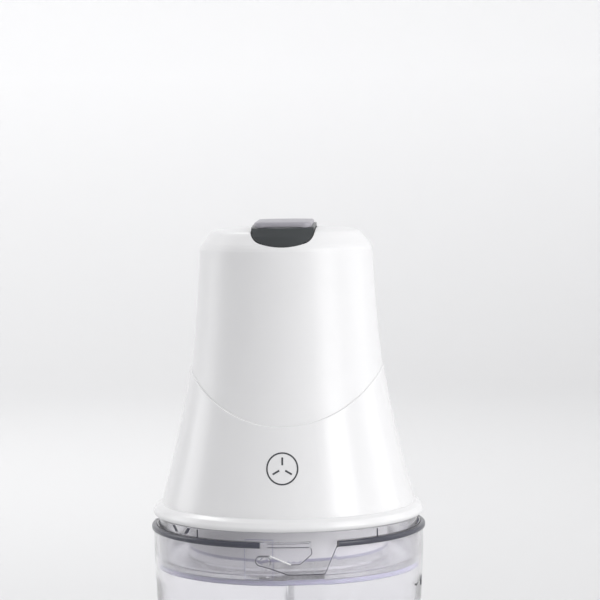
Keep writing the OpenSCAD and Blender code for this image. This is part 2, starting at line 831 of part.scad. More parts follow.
bowl();
rim_band();
base_ring();
spindle_pin();
spindle_nut();
blade_hub();
blade_stem();
lower_blade();
upper_blade();
drive_socket();
lid();
lid_bush();
lid_gasket();
upper_housing();
collar();
base_plate();
base_screws();
cord_gland();
badge();
button();
button_pad();
button_spring();
button_guide();
motor_cradle();
cradle_screws();
motor_can();
magnet_left();
magnet_right();
end_cap();
brush_left();
brush_right();
bottom_bearing();
top_bearing();
motor_shaft();
armature_core();
armature_winding();
commutator();
cooling_fan();
sun_pinion();
motor_plate();
ring_gear();
gearbox_cover();
gearbox_screws();
output_bearing();
planet_1();
planet_2();
planet_3();
planet_carrier();
output_dog();
top_bracket();
circuit_board();
rectifier();
choke();
power_switch();
switch_plunger();
interlock_switch();
interlock_pin();
interlock_spring();
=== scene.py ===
"""Looks of the upright mini chopper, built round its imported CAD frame. Looks, camera and stage are in
metres; the part's own dimensions are in millimetres."""
import json
import math

import bmesh
import bpy
from mathutils import Matrix, Vector


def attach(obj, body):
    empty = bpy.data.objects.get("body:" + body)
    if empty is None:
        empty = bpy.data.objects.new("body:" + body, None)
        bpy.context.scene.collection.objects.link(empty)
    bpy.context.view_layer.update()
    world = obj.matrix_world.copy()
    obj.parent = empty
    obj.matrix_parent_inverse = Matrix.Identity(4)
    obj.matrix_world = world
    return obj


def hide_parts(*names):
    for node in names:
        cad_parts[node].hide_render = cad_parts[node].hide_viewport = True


MM = 0.001

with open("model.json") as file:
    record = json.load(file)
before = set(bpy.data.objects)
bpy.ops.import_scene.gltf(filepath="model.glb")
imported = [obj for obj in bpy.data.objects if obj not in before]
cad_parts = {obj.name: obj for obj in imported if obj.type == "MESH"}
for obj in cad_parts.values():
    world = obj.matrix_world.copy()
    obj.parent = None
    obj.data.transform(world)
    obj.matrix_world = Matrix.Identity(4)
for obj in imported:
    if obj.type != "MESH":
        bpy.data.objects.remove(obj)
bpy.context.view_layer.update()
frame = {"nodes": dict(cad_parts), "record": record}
nodes = frame["nodes"]


# ---------- node materials ----------

# Sockets of the mix node when it mixes colours.
FIRST_COLOUR, SECOND_COLOUR, MIXED_COLOUR = 6, 7, 2
FLAT_GRAIN = 0.000001  # depth of the grain on polished mould faces, in metres
BRUSHED = 40  # how much longer than wide the marks on turned metal are


class Graph:
    """A material's node tree, with short calls that add a node and wire its inputs."""

    def __init__(self, name):
        self.material = bpy.data.materials.new(name)
        self.material.use_nodes = True
        self.tree = self.material.node_tree
        self.shader = self.tree.nodes["Principled BSDF"]
        self.place = self.add("ShaderNodeTexCoord").outputs["Object"]

    def add(self, kind, inputs=None, **settings):
        made = self.tree.nodes.new(kind)
        for key, value in settings.items():
            setattr(made, key, value)
        for key, value in (inputs or {}).items():
            self.put(made.inputs[key], value)
        return made

    def put(self, socket, value):
        if isinstance(value, bpy.types.NodeSocket):
            self.tree.links.new(value, socket)
        else:
            socket.default_value = value

    def set(self, **inputs):
        for key, value in inputs.items():
            self.put(self.shader.inputs[key.replace("_", " ")], value)

    def stretched(self, scale):
        """Object coordinates scaled by three factors."""
        return self.add("ShaderNodeMapping", {"Vector": self.place, "Scale": scale}).outputs["Vector"]

    def noise(self, size, detail=3.0, rough=0.5, place=None):
        """Noise whose features are about size metres across."""
        made = self.add("ShaderNodeTexNoise", {"Vector": place or self.place, "Scale": 1 / size,
                                               "Detail": detail, "Roughness": rough})
        return made.outputs["Fac"]

    def spread(self, value, low, high):
        """Maps 0.3..0.7 of a noise to low..high."""
        made = self.add("ShaderNodeMapRange", {"Value": value, "From Min": 0.3, "From Max": 0.7,
                                               "To Min": low, "To Max": high})
        return made.outputs["Result"]

    def blend(self, factor, first, second):
        made = self.add("ShaderNodeMix", data_type="RGBA")
        self.put(made.inputs["Factor"], factor)
        self.put(made.inputs[FIRST_COLOUR], (*first, 1))
        self.put(made.inputs[SECOND_COLOUR], (*second, 1))
        return made.outputs[MIXED_COLOUR]

    def relief(self, height, depth, under=None):
        """A bump of the given depth in metres."""
        inputs = {"Height": height, "Distance": depth, "Strength": 1.0}
        if under is not None:
            inputs["Normal"] = under
        return self.add("ShaderNodeBump", inputs).outputs["Normal"]


def shade(colour, amount):
    return tuple(c * amount for c in colour)


def plastic(name, colour, rough, grain=0.00025, grain_depth=0.000004, vary=0.03, wave_depth=0.00002):
    """Injection-moulded plastic: spark-eroded grain over faint long waves, with uneven gloss."""
    g = Graph(name)
    patch = g.noise(0.02, 2)
    fine = g.noise(grain, 2)
    g.set(Base_Color=g.blend(patch, shade(colour, 1 - vary), colour),
          Roughness=g.spread(g.noise(0.006, 4), rough * 0.88, rough * 1.12), IOR=1.53)
    waves = g.relief(g.noise(0.03, 1), wave_depth)
    g.set(Normal=g.relief(fine, grain_depth, waves))
    return g.material


def clear_plastic(name, colour, through, rough=0.045, clarity=0.97, wave_depth=0.00001):
    """Polished clear plastic with faint flow waves and hairline handling scuffs. Rays from lamps pass
    through it with the tint called through, so that they reach what is behind it."""
    g = Graph(name)
    scuffs = g.noise(0.0016, 5, 0.7, g.stretched((1, 1, 6)))
    g.set(Base_Color=g.blend(g.noise(0.03, 2), shade(colour, 0.985), colour),
          Roughness=g.spread(scuffs, rough, rough * 2.2), IOR=1.49, Transmission_Weight=clarity)
    g.set(Normal=g.relief(g.noise(0.012, 1), wave_depth))
    open_side = g.add("ShaderNodeBsdfTransparent", {"Color": (*through, 1)})
    path = g.add("ShaderNodeLightPath")
    mix = g.add("ShaderNodeMixShader", {0: path.outputs["Is Shadow Ray"], 1: g.shader.outputs["BSDF"],
                                        2: open_side.outputs["BSDF"]})
    g.put(g.tree.nodes["Material Output"].inputs["Surface"], mix.outputs["Shader"])
    return g.material


def rubber(name, colour, rough=0.6):
    """Dull rubber, or any other soft matt stuff, with a little dust."""
    g = Graph(name)
    dust = g.noise(0.004, 6, 0.7)
    g.set(Base_Color=g.blend(dust, shade(colour, 0.92), shade(colour, 1.08)),
          Roughness=g.spread(dust, rough * 0.9, rough * 1.1), IOR=1.5)
    g.set(Normal=g.relief(g.noise(0.0004, 3), 0.00001))
    return g.material


def silicone(name, colour):
    """Translucent seal: soft, slightly waxy."""
    g = Graph(name)
    g.set(Base_Color=g.blend(g.noise(0.005, 3), shade(colour, 0.95), colour), Roughness=0.38,
          IOR=1.42, Subsurface_Weight=0.5, Subsurface_Radius=(0.004, 0.003, 0.004))
    g.set(Normal=g.relief(g.noise(0.0008, 3), 0.000008))
    return g.material


def turned_metal(name, colour, rough, line=0.0002, along="z"):
    """Machined metal with fine rings round its axis (along z) or straight grinding marks (along x)."""
    g = Graph(name)
    stretch = {"z": (1, 1, BRUSHED), "x": (BRUSHED / 10, BRUSHED, BRUSHED / 10)}[along]
    marks = g.noise(line * BRUSHED, 4, 0.65, g.stretched(stretch))
    g.set(Base_Color=g.blend(marks, shade(colour, 0.9), colour), Metallic=1.0,
          Roughness=g.spread(marks, rough * 0.75, rough * 1.3))
    g.set(Normal=g.relief(marks, 0.000006))
    return g.material


def layered(name, colour, pitch, metallic=1.0, rough=0.35, across="Z"):
    """Stacked laminations or close-wound wire: fine dark lines at the given pitch. At scale 1 the wave
    node's lines are tau / 20 apart."""
    g = Graph(name)
    lines = g.add("ShaderNodeTexWave", {"Vector": g.place, "Scale": math.tau / 20 / pitch,
                                        "Distortion": 0.0}, bands_direction=across)
    height = lines.outputs["Fac"]
    g.set(Base_Color=g.blend(height, shade(colour, 0.55), colour), Metallic=metallic,
          Roughness=g.spread(g.noise(0.003, 3), rough * 0.8, rough * 1.2))
    g.set(Normal=g.relief(height, pitch * 0.2))
    return g.material


def make_materials():
    """Every finish by name; the record's material slots are among them."""
    white = (0.87, 0.868, 0.872)
    through = (0.992, 0.988, 1.0)
    return {
        "clear_plastic": clear_plastic("clear_polymer", (0.985, 0.981, 1.0), through),
        "clear_lid": clear_plastic("clear_lid_polymer", (0.985, 0.98, 1.0), through, 0.05, clarity=0.88),
        # painted shade: lilac lines for edges that show through clear plastic, round the lugs' plates and at
        # the base's foot
        "lilac_painted_edge_shade": plastic("lilac_painted_edge_shade", (0.33, 0.32, 0.47), 0.3, grain_depth=FLAT_GRAIN),
        # dark marks: print for the level numbers, and painted shade for the dark lines clear edges show at
        # slots, rim and lugs
        "dark_marks_and_painted_edge_shade": plastic("dark_marks_and_painted_edge_shade", (0.05, 0.05, 0.065), 0.3, grain_depth=FLAT_GRAIN),
        # painted highlight: pure white, for the glint of light on each slot's ramp
        "painted_glint_white": plastic("painted_glint_white", (1.0, 1.0, 1.0), 0.1, grain_depth=FLAT_GRAIN),
        "dark_band": plastic("band_polymer", (0.058, 0.06, 0.082), 0.24, grain_depth=FLAT_GRAIN),
        "base_rubber": rubber("ring_rubber", (0.42, 0.425, 0.45)),
        "bright_steel": turned_metal("bright_steel", (0.72, 0.72, 0.73), 0.24),
        "blade_steel": turned_metal("blade_steel", (0.5, 0.505, 0.515), 0.22, along="x"),
        "hub_plastic": plastic("hub_acetal", (0.82, 0.82, 0.82), 0.35),
        "seal_silicone": silicone("seal_silicone", (0.53, 0.52, 0.65)),
        "white_satin": plastic("white_satin", white, 0.36),
        "white_gloss": plastic("white_gloss", white, 0.24, grain_depth=FLAT_GRAIN),
        # partly painted light: the white made 6 % lighter, to lift the inner parts where they lie in the
        # head's shade
        "white_inner": plastic("white_inner", shade(white, 1.06), 0.5),
        "gland_rubber": rubber("gland_rubber", (0.05, 0.05, 0.053)),
        "badge_ink": plastic("badge_ink", (0.05, 0.052, 0.06), 0.45, grain_depth=0.000002),
        "button_grey": plastic("button_grey", (0.036, 0.041, 0.044), 0.34, grain_depth=0.000006),
        "pad_grey": plastic("pad_grey", (0.385, 0.372, 0.41), 0.4, grain_depth=0.000006),
        "frame_plastic": plastic("frame_polymer", (0.66, 0.66, 0.62), 0.5),
        "motor_steel": turned_metal("can_steel", (0.55, 0.56, 0.57), 0.32),
        "magnet_ferrite": rubber("ferrite", (0.07, 0.07, 0.075), 0.7),
        "carbon": rubber("carbon", (0.03, 0.03, 0.03), 0.5),
        "sintered_bronze": turned_metal("sintered_bronze", (0.6, 0.42, 0.2), 0.4),
        "laminated_steel": layered("laminations", (0.42, 0.43, 0.46), 0.0005),
        "copper_wire": layered("copper_wire", (0.8, 0.4, 0.2), 0.0006),
        "gear_acetal": plastic("gear_acetal", (0.78, 0.77, 0.71), 0.4),
        "carrier_plastic": plastic("carrier_nylon", (0.2, 0.21, 0.22), 0.5),
        "board_green": layered("board_laminate", (0.05, 0.22, 0.11), 0.0012, 0.0, 0.4, "X"),
        "component_black": plastic("component_epoxy", (0.03, 0.03, 0.033), 0.5),
        "plunger_red": plastic("plunger_nylon", (0.5, 0.05, 0.04), 0.45),
    }


materials = make_materials()


def dress(obj, slot):
    obj.data.materials.clear()
    obj.data.materials.append(materials[slot])


for row in frame["record"]["subparts"]:
    dress(nodes[row["node"]], row["material_slot"])


# ---------- mesh helpers ----------

AROUND = 256  # columns in a full turn
SHARP, BEAD_SHARP = 38, 60  # edges sharper than this many degrees aren't shaded smooth
DOUBLED = 1e-4  # points closer than this are one point, in millimetres


def angles(start, sweep, steps):
    """Evenly spaced angles from start on, with both ends."""
    return [start + sweep * k / steps for k in range(steps + 1)]


def spun(points, degrees):
    """The points turned round Z."""
    turn = Matrix.Rotation(math.radians(degrees), 3, "Z")
    return [turn @ Vector(p) for p in points]


def front_of(radius, x):
    """Where the front of an upright cylinder is at x."""
    return -math.sqrt(radius * radius - x * x)


def rounded(corners, steps=4):
    """Closed outline in the plane; each corner (x, y, radius) becomes a short curve of about that radius."""
    line = []
    for i, (x, y, radius) in enumerate(corners):
        here = Vector((x, y))
        back = Vector(corners[i - 1][:2]) - here
        ahead = Vector(corners[(i + 1) % len(corners)][:2]) - here
        if not radius:
            line.append(here)
            continue
        half = back.angle(ahead) / 2
        cut = min(radius / math.tan(half), 0.48 * back.length, 0.48 * ahead.length)
        start, end = here + back.normalized() * cut, here + ahead.normalized() * cut
        for k in range(steps + 1):
            t = k / steps
            line.append(start * (1 - t) ** 2 + here * 2 * t * (1 - t) + end * t ** 2)
    return line


def densified(line, step, closed=True):
    """The same outline, or open line, with no edge longer than step and no doubled points."""
    out = []
    for a, b in zip(line, line[1:] + (line[:1] if closed else [])):
        length = (b - a).length
        if length < DOUBLED:
            continue
        parts = max(1, math.ceil(length / step))
        out += [a.lerp(b, k / parts) for k in range(parts)]
    return out if closed else out + [line[-1]]


def soften(mesh, sharp=SHARP):
    mesh.shade_smooth()
    mesh.set_sharp_from_angle(angle=math.radians(sharp))


def make_object(name, points, faces, sharp=SHARP):
    """Mesh object from points in millimetres, smooth-shaded up to the angle called sharp."""
    mesh = bpy.data.meshes.new(name)
    mesh.from_pydata([Vector(p) * MM for p in points], [], faces)
    made = bpy.data.objects.new(name, mesh)
    bpy.context.collection.objects.link(made)
    soften(mesh, sharp)
    return made


def outward(made):
    """Turns every face outwards, so that booleans and glass know the inside."""
    shape = bmesh.new()
    shape.from_mesh(made.data)
    bmesh.ops.recalc_face_normals(shape, faces=shape.faces)
    shape.to_mesh(made.data)
    shape.free()
    return made


def swept(name, columns, closed=True, sharp=SHARP):
    """Solid with its skin through columns of points in millimetres, all of one length and each closed on
    itself: on to the first column again, or from one flat end to another."""
    count, rows = len(columns), len(columns[0])
    faces = []
    for c in range(count if closed else count - 1):
        after = (c + 1) % count
        for r in range(rows):
            up = (r + 1) % rows
            faces.append((c * rows + r, after * rows + r, after * rows + up, c * rows + up))
    if not closed:
        faces += [tuple(range(rows)), tuple(range((count - 1) * rows, count * rows))[::-1]]
    return outward(make_object(name, [p for column in columns for p in column], faces, sharp))


def lathe(name, profile, span=None, segments=AROUND):
    """Turns a closed profile of (radius, height) round Z: all the way, or over a span from one angle to
    another, in degrees from the middle of the front towards +X, with flat ends."""
    if span is None:
        turns = angles(0.0, math.tau, segments)[:-1]
    else:
        sweep = math.radians(span[1] - span[0])
        turns = angles(math.radians(span[0]), sweep, max(4, round(segments * sweep / math.tau)))
    columns = [[(r * math.cos(a - math.pi / 2), r * math.sin(a - math.pi / 2), z) for r, z in profile]
               for a in turns]
    return swept(name, columns, closed=span is None)


def combined(base, others, operation, sharp=SHARP):
    """Base with the other solids joined on or cut away; they are used up."""
    for other in others:
        change = base.modifiers.new("join", "BOOLEAN")
        change.operation = operation
        change.solver = "MANIFOLD"
        change.object = other
    graph = bpy.context.evaluated_depsgraph_get()
    mesh = bpy.data.meshes.new_from_object(base.evaluated_get(graph))
    base.modifiers.clear()
    base.data = mesh
    for other in others:
        bpy.data.objects.remove(other)
    soften(mesh, sharp)
    return base


def joined(name, parts, sharp=SHARP):
    """One piece of that name from all the parts."""
    whole = combined(parts[0], parts[1:], "UNION", sharp)
    whole.name = name
    return whole


def box_piece(name, low, high, turn, round_by):
    """Block with rounded edges between two corners in millimetres, turned round Z by degrees."""
    shape = bmesh.new()
    size = Vector(high) - Vector(low)
    middle = (Vector(high) + Vector(low)) / 2
    bmesh.ops.create_cube(shape, size=1.0)
    bmesh.ops.scale(shape, vec=size, verts=shape.verts)
    bmesh.ops.bevel(shape, geom=shape.edges, offset=round_by, segments=2, affect="EDGES", profile=0.5)
    bmesh.ops.translate(shape, vec=middle, verts=shape.verts)
    bmesh.ops.rotate(shape, matrix=Matrix.Rotation(math.radians(turn), 3, "Z"), verts=shape.verts)
    bmesh.ops.scale(shape, vec=(MM, MM, MM), verts=shape.verts)
    mesh = bpy.data.meshes.new(name)
    shape.to_mesh(mesh)
    shape.free()
    made = bpy.data.objects.new(name, mesh)
    bpy.context.collection.objects.link(made)
    return made


def bead(name, path, radius, closed=False, sides=8):
    """Thin round bead along a path of points in millimetres."""
    rings = []
    for i, p in enumerate(path):
        before = path[i - 1] if closed or i else p
        after = path[(i + 1) % len(path)] if closed or i < len(path) - 1 else p
        along = (after - before).normalized()
        side = along.cross(Vector((p.x, p.y, 0)).normalized()).normalized()
        up = side.cross(along)
        rings.append([p + radius * (side * math.cos(a) + up * math.sin(a))
                      for a in angles(0, math.tau, sides)[:-1]])
    return swept(name, rings, closed, BEAD_SHARP)


def place(piece, body, slot, *nodes_replaced, finish=None):
    """Finishes a piece: its material, the body it moves with and the CAD nodes it stands for."""
    dress(piece, finish or slot)
    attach(piece, body)
    if nodes_replaced:
        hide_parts(*nodes_replaced)
    return piece


# ---------- bowl ----------

# Millimetres and degrees. RIM_Z and FOOT_TOP are above the floor, and every other height called _Z is
# above the rim. Angles called _AT, _FROM and _TO, and the mouth's two, count from a slot's middle towards
# +X. SLOT_TURN counts from the front; LEVEL_TURN and NUMBER_TURN place the marks at the bowl's right.
RIM_Z, RIM_TOP_Z, RIM_R = 98.0, 2.6, 62.1
BOWL_R, BOWL_WALL = 61.1, 2.0  # outer radius under the rim, wall
SHOULDER_R, SHOULDER_Z, STRAIGHT_Z = BOWL_R - 1, -32, -11  # the wall tapers below STRAIGHT_Z
FOOT_R, FOOT_TOP, FOOT_ROUND = 55.5, 12, 7
SPINDLE_R = 2.45
BAND_R = BOWL_R - 1.3  # inside of the dark bead
GAP_FROM = -11.5  # the bead has a gap at each slot, from here to the mouth's far side
LEVELS, LEVEL_Z, LEVEL_STEP, LEVEL_TALL, LEVEL_TURN = 7, -24, 9, 0.9, -12
SLOTS, SLOT_TURN = 3, 2.5
SLOT_PLAY, SLOT_EDGE = 0.55, 0.38  # room round the lug, rounding of the slot's edges
TUNNEL_FROM, TUNNEL_TO = -72.0, -50.0  # the slots are cut from outside the wall to inside it
LUG_AT, LUG_Z, LUG_R, LUG_CUT = -10.3, -5.6, 1.7, 1.1
ROUND_AT = LUG_AT - 0.9  # middle of the slot's and the lug's round end
TWIST, DROP = 11.2, 3.75  # the lid's turn and fall down the ramp
RAMP_FROM, RAMP_TO = -7.4, LUG_AT + TWIST
MOUTH = (9.3, 20.7)


def slot_turn(index):
    """Where a slot's middle is, in degrees from the front towards +X."""
    return SLOT_TURN + 360 / SLOTS * index


def on_wall(angle):
    """How far along X a point of the bowl's wall is, by its angle from the front."""
    return BOWL_R * math.sin(math.radians(angle))


def slot_line():
    """Outline of one bayonet slot, seen from the front: (x, height above the rim)."""
    end_r = LUG_R + SLOT_PLAY
    top, low = LUG_Z + end_r, LUG_Z - DROP - end_r
    end_x = on_wall(ROUND_AT)
    line = rounded([
        (on_wall(MOUTH[0]), 4, 0), (on_wall(MOUTH[0]), -0.4, 2), (on_wall(MOUTH[0] + 0.5), -2.6, 1.6),
        (on_wall(RAMP_TO + 3.8), top - DROP, 1.6), (on_wall(RAMP_TO), top - DROP, 0.6),
        (on_wall(RAMP_FROM), top, 0.4), (end_x, top, 0)], 5)
    line += [Vector((end_x + end_r * math.cos(a), LUG_Z + end_r * math.sin(a)))
             for a in angles(math.pi / 2, math.pi, 12)[1:-1]]
    line += rounded([
        (end_x, LUG_Z - end_r, 0), (on_wall(RAMP_FROM), LUG_Z - end_r - 1, 0.4),
        (on_wall(RAMP_TO - 1.1), low, 1.5), (on_wall(15), low, 0.8), (on_wall(MOUTH[1]), 1.5, 0),
        (on_wall(MOUTH[1]), 4, 0)], 5)
    return densified(line, 1.2)


def slot_cutter(index):
    """What a slot takes out of the rim: the outline as a straight tunnel that flares where it meets the
    outer and inner faces of the wall, so that the slot's edges come out rounded."""
    line = slot_line()
    normals = []
    for before, after in zip(line[-1:] + line[:-1], line[1:] + line[:1]):
        along = (after - before).normalized()
        normals.append(Vector((along.y, -along.x)))

    def grown(by):
        return [(p.x + v.x * by, p.y + v.y * by) for p, v in zip(line, normals)]

    def flat(y):
        return [(x, y, z + RIM_Z) for x, z in grown(SLOT_EDGE)]

    flare = [(SLOT_EDGE * (1 - math.cos(a)), SLOT_EDGE * (1 - math.sin(a)))
             for a in angles(0, math.pi / 2, 4)]
    rings = [flat(TUNNEL_FROM)]
    rings += [[(x, front_of((RIM_R if z > 0 else BOWL_R) - depth, x), z + RIM_Z) for x, z in grown(by)]
              for depth, by in flare]
    rings += [[(x, front_of(BOWL_R - BOWL_WALL + depth, x), z + RIM_Z) for x, z in grown(by)]
              for depth, by in flare[::-1]]
    rings.append(flat(TUNNEL_TO))
    return swept(f"slot_cutter_{index}", [spun(ring, slot_turn(index)) for ring in rings], closed=False)


def band_span(index):
    """The stretch of rim that carries the dark bead after a slot, in degrees from the front."""
    return slot_turn(index) + MOUTH[1], slot_turn(index + 1) + GAP_FROM


def wall_radius(z):
    """Outer radius of the bowl's wall at a height above the floor."""
    shoulder = RIM_Z + SHOULDER_Z
    lost = max(0.0, shoulder - z) * (SHOULDER_R - FOOT_R) / (shoulder - FOOT_TOP)
    gained = min(1.0, max(0.0, (z - shoulder) / (STRAIGHT_Z - SHOULDER_Z))) * (BOWL_R - SHOULDER_R)
    return SHOULDER_R - lost + gained


def make_bowl():
    """Clear bowl with its slots, level bars and the seat of the dark bead."""
    z = RIM_Z
    inner = BOWL_R - BOWL_WALL
    foot = [(FOOT_R - FOOT_ROUND + FOOT_ROUND * math.sin(a), FOOT_TOP - FOOT_ROUND * math.cos(a), 0)
            for a in angles(0, math.pi / 2, 10)]
    profile = rounded([(SPINDLE_R, 5, 0)] + foot + [
        (SHOULDER_R, z + SHOULDER_Z, 40), (BOWL_R, z + STRAIGHT_Z, 20), (BOWL_R, z, 0.35), (RIM_R, z, 0.3),
        (RIM_R, z + RIM_TOP_Z, 0.7), (inner, z + RIM_TOP_Z, 0.5), (inner, z - 20.8, 40),
        (SHOULDER_R - BOWL_WALL, z + SHOULDER_Z, 40), (FOOT_R - BOWL_WALL, 17, 5), (FOOT_R - 5.5, 9.4, 3.5),
        (FOOT_R - 11, 7.5, 4), (11, 7.5, 1.5), (8, 10, 1.5), (6.6, 20, 0.6), (SPINDLE_R, 20, 0.3)], 6)
    bowl = lathe("bowl_shell", profile)
    seat = [(BAND_R, z), (RIM_R + 1, z), (RIM_R + 1, z + 4), (BAND_R, z + 4)]
    seats = [lathe(f"band_seat_{i}", seat, band_span(i)) for i in range(SLOTS)]
    bars = []
    for i in range(LEVELS):
        low = z + LEVEL_Z - LEVEL_STEP * i
        wide = 4.0 if i % 2 else 7.0
        r = wall_radius(low + LEVEL_TALL / 2)
        bars.append(box_piece(f"level_bar_{i}", (r - 0.5, -wide, low), (r + 0.32, 0, low + LEVEL_TALL),
                              LEVEL_TURN, 0.2))
    combined(bowl, bars, "UNION")
    combined(bowl, [slot_cutter(i) for i in range(SLOTS)] + seats, "DIFFERENCE")
    place(bowl, "bowl", "clear_plastic", "bowl")


def make_band():
    """Dark bead in the rim, in three lengths with rounded edges."""
    z = RIM_Z
    profile = rounded([(BAND_R, z, 0), (RIM_R, z, 0.7), (RIM_R, z + 1.9, 0.8), (RIM_R - 0.9, z + 2.4, 0.6),
                       (BAND_R, z + 2.4, 0.5)], 5)
    lengths = [lathe(f"band_length_{i}", profile, band_span(i)) for i in range(SLOTS)]
    place(joined("rim_bead", lengths), "bowl", "dark_band", "rim_band")


# Strokes of the plain numbers, in millimetres from each number's middle.
DIGITS = {
    1: [(-0.5, 1.4), (0.5, 2.2), (0.5, -2.2)],
    2: [(-1.1, 1.3), (-0.7, 2.0), (0.1, 2.2), (0.9, 1.9), (1.1, 1.1), (0.7, 0.3), (-1.1, -2.2), (1.2, -2.2)],
    3: [(-1.1, 1.5), (-0.5, 2.1), (0.3, 2.2), (1.0, 1.7), (0.9, 0.7), (0.1, 0.2), (1.0, -0.3), (1.2, -1.2),
        (0.6, -2.0), (-0.3, -2.2), (-1.1, -1.7)],
    4: [(0.8, -2.2), (0.8, 2.2), (-1.2, -0.8), (1.4, -0.8)]}
NUMBER_TURN = 81.5


def make_level_numbers():
    """Plain numbers, one beside every long level bar."""
    strokes = []
    for i, digit in enumerate((4, 3, 2, 1)):
        z = RIM_Z + LEVEL_Z - 2 * LEVEL_STEP * i + LEVEL_TALL / 2
        r = wall_radius(z) + 0.02
        line = densified([Vector(p) for p in DIGITS[digit]], 0.5, closed=False)
        path = spun([(r * math.sin(p.x / r), -r * math.cos(p.x / r), z + p.y) for p in line], NUMBER_TURN)
        strokes.append(bead(f"level_number_{digit}", path, 0.24))
    place(joined("level_numbers", strokes, BEAD_SHARP), "bowl", "dark_band", finish="dark_marks_and_painted_edge_shade")


# ---------- lid ----------

LID_R, LID_WALL = 58.5, 1.9
TRAY_Z, BASE_Z = -15, -8.2  # underside of the lid's tray, foot of the head's base
PIN_SEAT_Z, PIN_X = -8.8, 30  # the interlock pin stands here
PLATE_FROM, PLATE_TO = LUG_AT - 7.5, LUG_AT + 4.1
PLATE_R = LID_R + 0.25


def lug(index):
    """Bayonet lug, a half-round pin through the wall, and the plate that stiffens the lid there."""
    end_x, far_x = on_wall(ROUND_AT), on_wall(RAMP_FROM)
    line = [Vector((end_x + LUG_R * math.cos(a), LUG_Z + LUG_R * math.sin(a)))
            for a in angles(math.pi / 2, math.pi, 14)]
    line += [Vector((far_x, LUG_Z - LUG_R)), Vector((far_x, LUG_Z + LUG_R - LUG_CUT)),
             Vector((far_x - LUG_CUT, LUG_Z + LUG_R))]
    line = densified(line, 0.8)
    middle = sum(line, Vector((0, 0))) / len(line)
    rings = []
    for r, keep in ((LID_R - 1, 1), (BOWL_R - 0.1, 1), (BOWL_R + 0.15, 0.96), (BOWL_R + 0.3, 0.86)):
        ring = [middle + (p - middle) * keep for p in line]
        rings.append(spun([(q.x, front_of(r, q.x), q.y + RIM_Z) for q in ring], slot_turn(index)))
    pin = swept(f"lug_pin_{index}", rings, closed=False)
    inner, foot, top = LID_R - 0.4, RIM_Z + TRAY_Z + 0.8, RIM_Z + 3.4
    section = rounded([(inner, foot, 0), (PLATE_R, foot, 0.2), (PLATE_R, top, 0.2), (inner, top, 0)], 3)
    span = slot_turn(index) + PLATE_FROM, slot_turn(index) + PLATE_TO
    return [pin, lathe(f"lug_plate_{index}", section, span)]


def make_lid():
    """Clear lid: wall, tray with the drive's collar and the seat of the interlock pin, and lugs."""
    z, t = RIM_Z, RIM_Z + TRAY_Z
    profile = rounded([
        (9.5, t, 0.2), (56, t, 0.1), (56, t + 0.6, 0.1), (58, t + 0.6, 0.1), (58, t + 0.3, 0.1),
        (LID_R, t + 0.8, 0.3), (LID_R, z + 6.3, 0.6), (LID_R - LID_WALL, z + 6.3, 0.6),
        (LID_R - LID_WALL, t + 2, 1.8), (46.6, t + 2, 0.3), (46.4, t + 3.4, 0.15), (46.0, t + 3.4, 0.15),
        (45.8, t + 2, 0.3), (11.6, t + 2, 0.8), (11.6, z - 1.5, 0.3), (9.5, z - 1.5, 0.2)], 5)
    lid = lathe("lid_shell", profile)
    section = rounded([(0, t + 1, 0), (5, t + 1, 0), (5, z + PIN_SEAT_Z, 0.6), (0, z + PIN_SEAT_Z, 0)], 4)
    seat = lathe("pin_seat", section, segments=48)
    seat.data.transform(Matrix.Translation((PIN_X * MM, 0, 0)))
    combined(lid, [seat] + [part for i in range(SLOTS) for part in lug(i)], "UNION")
    place(lid, "lid", "clear_plastic", "lid", finish="clear_lid")


def stroke(name, turn, flat, r_in, r_out):
    """Raised stroke on an upright wall: a flat outline (x, height above the rim) wrapped round the wall at
    that turn from the first slot's middle, from one radius to another."""
    line = densified(rounded([(x, y, 0.12) for x, y in flat], 3), 0.6)
    rings = [[(r * math.sin(p.x / r_out), -r * math.cos(p.x / r_out), p.y + RIM_Z) for p in line]
             for r in (r_in, r_out)]
    return swept(name, [spun(ring, SLOT_TURN + turn) for ring in rings], closed=False)


def make_lid_marks():
    """Two slanted strokes at the left of the lid's wall, and thin upright ones on both sides."""
    shapes = [(-57, [(-4.1, 5.6), (-2.4, 5.6), (0.6, 3.0), (-1.1, 3.0)]),
              (-57, [(9.9, 5.6), (8.3, 5.6), (6.0, 3.0), (7.6, 3.0)])]
    shapes += [(turn, [(-0.15, 5.6), (0.15, 5.6), (0.15, 1.6), (-0.15, 1.6)]) for turn in (-42.8, 41.7)]
    strokes = [stroke(f"lid_stroke_{i}", turn, flat, LID_R - 0.25, LID_R + 0.33)
               for i, (turn, flat) in enumerate(shapes)]
    place(joined("lid_marks", strokes), "lid", "dark_band")


def wrapped(line, radius, turn):
    """A flat line (x, height above the rim) laid on the front of a cylinder that is then turned."""
    return spun([(p.x, front_of(radius, p.x), p.y + RIM_Z) for p in line], turn)


def slot_paths():
    """The slot's outline below the rim's top in three: up to the ramp, the ramp, and on from it."""
    line = slot_line()
    top_z = 0.6
    first = next(i for i, p in enumerate(line) if p.y < top_z)
    order = [p for p in line[first:] + line[:first] if p.y < top_z]
    left, right = on_wall(RAMP_FROM) - 0.3, on_wall(RAMP_TO) + 0.3
    top = LUG_Z + LUG_R + SLOT_PLAY
    ramp = [k for k, p in enumerate(order) if left <= p.x <= right and top - DROP - 0.2 < p.y <= top + 0.01]
    return order[:ramp[0] + 1], order[ramp[0]:ramp[-1] + 1], order[ramp[-1]:]


